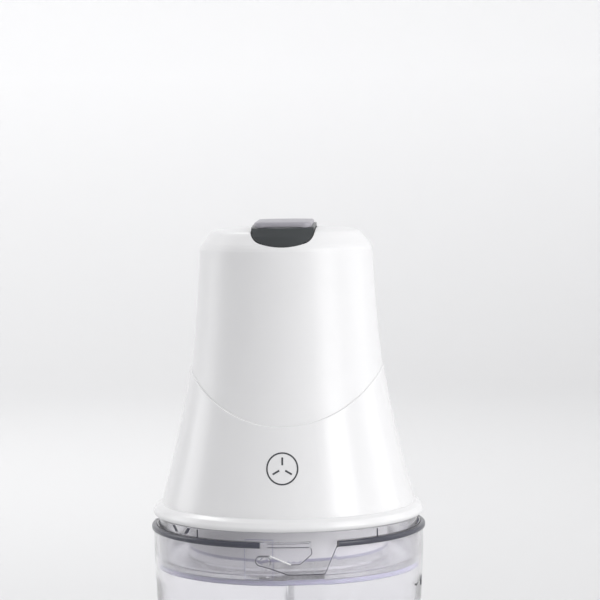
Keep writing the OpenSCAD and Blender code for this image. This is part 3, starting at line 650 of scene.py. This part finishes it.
def make_painted_edge_lines():
    """Fine beads that paint what clear edges show: painted shade as dark lines along each slot and on the
    rim over it, a painted highlight as a white line on the ramp where the lug runs, a dark painted-shade
    line at the lug's end and lilac painted-shade lines round the lug's plate."""
    before, ramp, after = slot_paths()
    dark, bright = [], []
    for i in range(SLOTS):
        turn = slot_turn(i)
        for part, path in (("a", before), ("b", after)):
            # painted shade: dark beads along each slot's edges and on the rim over it
            dark.append(bead(f"slot_edge_{i}_{part}", wrapped(path, BOWL_R + 0.02, turn), 0.15))
        # painted highlight: a white bead along each ramp stands in for the glint on the ramp's wall
        bright.append(bead(f"slot_ramp_{i}", wrapped(ramp, BOWL_R, turn), 0.3))
        for k, (height, thick) in enumerate(((2.1, 0.12), (0.5, 0.16))):
            arc = [Vector((on_wall(a), height)) for a in angles(-8.5, 17, 20)]
            dark.append(bead(f"rim_line_{i}_{k}", wrapped(arc, RIM_R, turn), thick))
    place(joined("slot_painted_edge_shade", dark, BEAD_SHARP), "bowl", "dark_band", finish="dark_marks_and_painted_edge_shade")
    place(joined("ramp_painted_glints", bright, BEAD_SHARP), "bowl", "clear_plastic", finish="painted_glint_white")
    far_x = on_wall(RAMP_FROM)
    end = [Vector((far_x, z)) for z in (LUG_Z - LUG_R, LUG_Z, LUG_Z + LUG_R - LUG_CUT)]
    # painted shade: a dark bead at each lug's end
    lugs = [bead(f"lug_edge_{i}", wrapped(end, BOWL_R + 0.32, slot_turn(i)), 0.12) for i in range(SLOTS)]
    # painted shade: a lilac bead round each lug's plate
    corners = [(PLATE_FROM, 3.2), (PLATE_FROM, TRAY_Z + 1), (PLATE_TO, TRAY_Z + 1), (PLATE_TO, 3.2)]
    outline = densified([Vector((on_wall(a), z)) for a, z in corners], 1.0)
    plates = [bead(f"plate_edge_{i}", wrapped(outline, PLATE_R - 0.03, slot_turn(i)), 0.12, closed=True)
              for i in range(SLOTS)]
    place(joined("plate_painted_edge_lines", plates, BEAD_SHARP), "lid", "clear_plastic", finish="lilac_painted_edge_shade")
    place(joined("lug_painted_edge_shade", lugs, BEAD_SHARP), "lid", "dark_band", finish="dark_marks_and_painted_edge_shade")


def make_painted_base_line():
    """Painted shade: a soft lilac ring round the foot of the head's base, for the shade line that shows
    there through the lid.
    """
    z = RIM_Z + BASE_Z
    line = lathe("base_painted_shade_line", rounded([(44.4, z - 0.8, 0.2), (45.7, z - 0.8, 0.35), (45.8, z + 0.5, 0.2),
                                       (45.45, z + 0.5, 0), (45.45, z - 0.02, 0), (44.4, z - 0.02, 0)], 3))
    place(line, "head", "seal_silicone", finish="lilac_painted_edge_shade")


def make_gasket():
    """Silicone seal: a stem in the lid's groove and a lip that wipes the bowl."""
    t = RIM_Z + TRAY_Z
    profile = rounded([
        (56.1, t + 0.45, 0.15), (57.9, t + 0.45, 0.15), (57.9, t - 0.7, 0.4), (58.85, t - 1.2, 0.25),
        (58.4, t - 1.8, 0.3), (57.2, t - 1.5, 0.5), (55.7, t - 1.7, 0.35), (55.6, t - 0.1, 0.3),
        (56.1, t - 0.1, 0.1)], 4)
    place(lathe("lid_seal", profile), "gasket", "seal_silicone", "lid_gasket")


# ---------- button ----------

PAD_Z, PAD_LOW_Z = 139.9, 136.2
PAD_HALF, PAD_FRONT, PAD_CORNER, PAD_BACK = 12.7, -29.5, 4.0, 6.0
PAD_FLAT = 1.1  # how far the soft edge reaches in
CROWN_R, CROWN_Y = 420.0, -8.0


def pad_outline(inset):
    """The finger pad seen from above, counterclockwise, drawn in by that much."""
    half, front, corner = PAD_HALF - inset, PAD_FRONT + inset, PAD_CORNER - inset
    line = []
    for x, y, r, start, sweep, steps in ((corner - half, front + corner, corner, 180, 90, 12),
                                         (half - corner, front + corner, corner, 270, 90, 12),
                                         (0, PAD_BACK, half, 0, 180, 48)):
        line += [Vector((x + r * math.cos(math.radians(a)), y + r * math.sin(math.radians(a))))
                 for a in angles(start, sweep, steps)]
    return line


def crown(p):
    """Height of the pad's dome above the rim."""
    return PAD_Z - CROWN_R + math.sqrt(CROWN_R ** 2 - p.x ** 2 - (p.y - CROWN_Y) ** 2)


def make_pad():
    """Finger pad: slightly domed, with a soft edge all round its top. Rings run up its side and round the
    soft edge, and then shrink over the top towards a point near its middle."""
    rings = [[(p.x, p.y, PAD_LOW_Z + up + RIM_Z) for p in pad_outline(inset)]
             for inset, up in ((0.3, 0), (0, 0.3))]
    rings += [[(p.x, p.y, crown(p) - down + RIM_Z) for p in pad_outline(inset)]
              for inset, down in ((0, 1.1), (0.07, 0.68), (0.25, 0.32), (0.6, 0.08), (PAD_FLAT, 0))]
    middle = Vector((0, PAD_CORNER + PAD_FRONT / 3))
    for part in (0.8, 0.6, 0.4, 0.2):
        row = [middle + part * (p - middle) for p in pad_outline(PAD_FLAT)]
        rings.append([(p.x, p.y, crown(p) + RIM_Z) for p in row])
    n = len(rings[0])
    points = [p for ring in rings for p in ring]
    faces = [(r * n + k, r * n + (k + 1) % n, (r + 1) * n + (k + 1) % n, (r + 1) * n + k)
             for r in range(len(rings) - 1) for k in range(n)]
    faces += [tuple(range(n))[::-1], tuple(range(len(points) - n, len(points)))]
    place(outward(make_object("finger_pad", points, faces, BEAD_SHARP)), "button", "pad_grey", "button_pad")


def round_button():
    """Small rounds on the button's own edges."""
    rounds = nodes["button"].modifiers.new("rounds", "BEVEL")
    rounds.width = 0.45 * MM
    rounds.segments = 3
    rounds.limit_method = "ANGLE"
    rounds.angle_limit = math.radians(35)


# ---------- head casing ----------

FLANK = ((56.5, 12), (45, 55.5), (42, 71), (39, 125.5))  # Bezier points (radius, height above the rim)
COLLAR_STEP, COLLAR_EDGE = 0.9, 0.5
COLLAR_FLARE_Z = 14  # where the foot's flare meets the flank
SKIN = 0.05  # the collar's inside is this far from the shell under it
SEAM_R, SEAM_Z = 54.5, 51.0
FADE = 28  # the collar grows thinner over this height below the seam


def bezier(p, t):
    """Point of a cubic curve."""
    return tuple((1 - t) ** 3 * p[0][i] + 3 * (1 - t) ** 2 * t * p[1][i] + 3 * (1 - t) * t * t * p[2][i]
                 + t ** 3 * p[3][i] for i in (0, 1))


FLANK_LINE = [bezier(FLANK, i / 200) for i in range(201)]


def flank_radius(z):
    """Radius of the head's outer wall at a height above the rim."""
    for (ra, za), (rb, zb) in zip(FLANK_LINE, FLANK_LINE[1:]):
        if za <= z <= zb:
            return ra + (rb - ra) * (z - za) / (zb - za)
    return FLANK_LINE[0][0] if z < FLANK_LINE[0][1] else FLANK_LINE[-1][0]


def seam_height(angle):
    """Height of the seam above the rim at an angle round the head, where a wide circle seen from the
    front meets the wall. Each step goes half of the way there."""
    z = SEAM_Z
    for _ in range(40):
        x = (flank_radius(z) + COLLAR_STEP) * math.sin(angle)
        z += 0.5 * (SEAM_Z + SEAM_R - math.sqrt(SEAM_R ** 2 - x * x) - z)
    return z


def make_collar():
    """Flared lower cover with a rolled foot; its upper edge is rounded and follows the curved seam, and
    thins out where the seam runs high at the sides."""
    flare = COLLAR_FLARE_Z
    foot = rounded([(54.3, 9.2, 0), (54.3, 6.6, 0.3), (60.6, 6.6, 1.4), (61.4, 8.4, 1.6), (60.2, 10.7, 1.4),
                    (58.0, 11.95, 0.1), (57.2, 12.1, 0.05), (57.15, 12.5, 0.1),
                    (flank_radius(flare) + COLLAR_STEP, flare, 0)], 6)[:-1]
    count, rise = 288, 40
    columns = []
    for a in angles(0, math.tau, count)[:-1]:
        top = seam_height(a)
        thinner = 0.55 * COLLAR_STEP * math.sin(a) ** 4
        column = [(p.x, p.y) for p in foot]
        for k in range(rise + 1):
            z = flare + (top - COLLAR_EDGE - flare) * k / rise
            fade = max(0.0, 1 - (top - z) / FADE) ** 2
            column.append((flank_radius(z) + COLLAR_STEP - thinner * fade, z))
        step = COLLAR_STEP - thinner
        round_by = min(COLLAR_EDGE, 0.8 * step)
        for b in angles(0, math.pi / 2, 6)[1:]:
            z = top - COLLAR_EDGE + COLLAR_EDGE * math.sin(b)
            column.append((flank_radius(z) + step - round_by * (1 - math.cos(b)), z))
        column.append((flank_radius(top) + SKIN, top))
        for k in range(rise + 1):
            z = top - 0.1 + (FLANK[0][1] - top) * k / rise
            column.append((flank_radius(z) + SKIN, z))
        columns.append([(r * math.sin(a), -r * math.cos(a), z + RIM_Z) for r, z in column])
    place(swept("lower_cover", columns), "head", "white_gloss", "collar")


# ---------- camera, stage and lights ----------

# Metres. Each lamp has its place, its width and height, the point it faces and its power in watts.
FLOOR_PAPER, WALL_PAPER = (0.675, 0.675, 0.678), (0.845, 0.845, 0.85)
SKY_COLOUR, SKY_STRENGTH = (0.93, 0.93, 0.938), 0.845
LAMPS = {
    "right_front": ((1.1, -0.75, 0.6), (0.6, 1.0), (0, 0, 0.15), 8.3),
    "right_back": ((1.25, 0.35, 0.52), (0.6, 0.85), (0, 0, 0.15), 1.9),
    "left_back": ((-1.2, 0.3, 0.52), (0.6, 0.85), (0, 0, 0.15), 3.4),
    "backdrop": ((-0.5, 0.75, 1.2), (0.8, 0.8), (-0.1, 1.6, 0.3), 9.8)}
BOUNCES = 28


def place_camera():
    """Eye level a little above the head, about 1.1 m away and turned slightly to the object's right."""
    turn, pitch, roll = math.radians(2.5), math.radians(3.95), math.radians(0.56)
    distance, side, height = 1.1, 0.00615, 0.2769
    data = bpy.data.cameras.new("camera")
    data.lens = 146.2
    data.sensor_width = 36.0
    camera = bpy.data.objects.new("camera", data)
    bpy.context.collection.objects.link(camera)
    turned = Matrix.Rotation(turn, 4, "Z")
    spot = turned @ Vector((side, -distance, height))
    aim = Matrix.Rotation(math.pi / 2 - pitch, 4, "X") @ Matrix.Rotation(-roll, 4, "Z")
    camera.matrix_world = Matrix.Translation(spot) @ turned @ aim
    bpy.context.scene.camera = camera


def make_stage():
    """Pale round floor that curves up into a wall all round, so that every side has the same backdrop."""
    bend, reach, top = 0.7, 2.2, 2.4
    line = [(0.2 * k, 0.0) for k in range(1, 8)]
    line += [(reach - bend + bend * math.sin(a), bend - bend * math.cos(a))
             for a in angles(0, math.pi / 2, 16)]
    line.append((reach, top))
    columns, rows = 96, len(line)
    points = [(r * math.cos(a), r * math.sin(a), z)
              for a in angles(0, math.tau, columns)[:-1] for r, z in line]
    faces = [(c * rows + r, (c + 1) % columns * rows + r, (c + 1) % columns * rows + r + 1, c * rows + r + 1)
             for c in range(columns) for r in range(rows - 1)]
    points.append((0, 0, 0))
    faces += [(len(points) - 1, (c + 1) % columns * rows, c * rows) for c in range(columns)]
    mesh = bpy.data.meshes.new("studio_floor")
    mesh.from_pydata(points, [], faces)
    mesh.shade_smooth()
    floor = bpy.data.objects.new("studio_floor", mesh)
    bpy.context.collection.objects.link(floor)
    g = Graph("paper_sweep")
    height = g.add("ShaderNodeSeparateXYZ", {"Vector": g.place}).outputs["Z"]
    rise = g.add("ShaderNodeMapRange", {"Value": height, "From Min": 0.0, "From Max": bend / 2})
    g.set(Base_Color=g.blend(rise.outputs["Result"], FLOOR_PAPER, WALL_PAPER), Roughness=0.9)
    floor.data.materials.append(g.material)


def light_scene():
    """Even white sky, and soft lamps at the right, at both sides of the back and on the backdrop."""
    world = bpy.data.worlds.new("studio")
    bpy.context.scene.world = world
    world.use_nodes = True
    sky = world.node_tree.nodes["Background"]
    sky.inputs["Color"].default_value = (*SKY_COLOUR, 1)
    sky.inputs["Strength"].default_value = SKY_STRENGTH
    for name, (spot, size, aim, power) in LAMPS.items():
        data = bpy.data.lights.new(name, "AREA")
        data.shape = "RECTANGLE"
        data.size, data.size_y = size
        data.energy = power
        light = bpy.data.objects.new(name, data)
        bpy.context.collection.objects.link(light)
        light.location = spot
        light.rotation_euler = (Vector(aim) - Vector(spot)).to_track_quat("-Z", "Y").to_euler()


make_bowl()
make_band()
make_lid()
make_lid_marks()
make_painted_edge_lines()
make_painted_base_line()
make_level_numbers()
make_gasket()
make_pad()
round_button()
make_collar()
place_camera()
make_stage()
light_scene()
bpy.context.scene.view_settings.view_transform = "Standard"
cycles = bpy.context.scene.cycles
cycles.max_bounces = cycles.transmission_bounces = cycles.transparent_max_bounces = BOUNCES
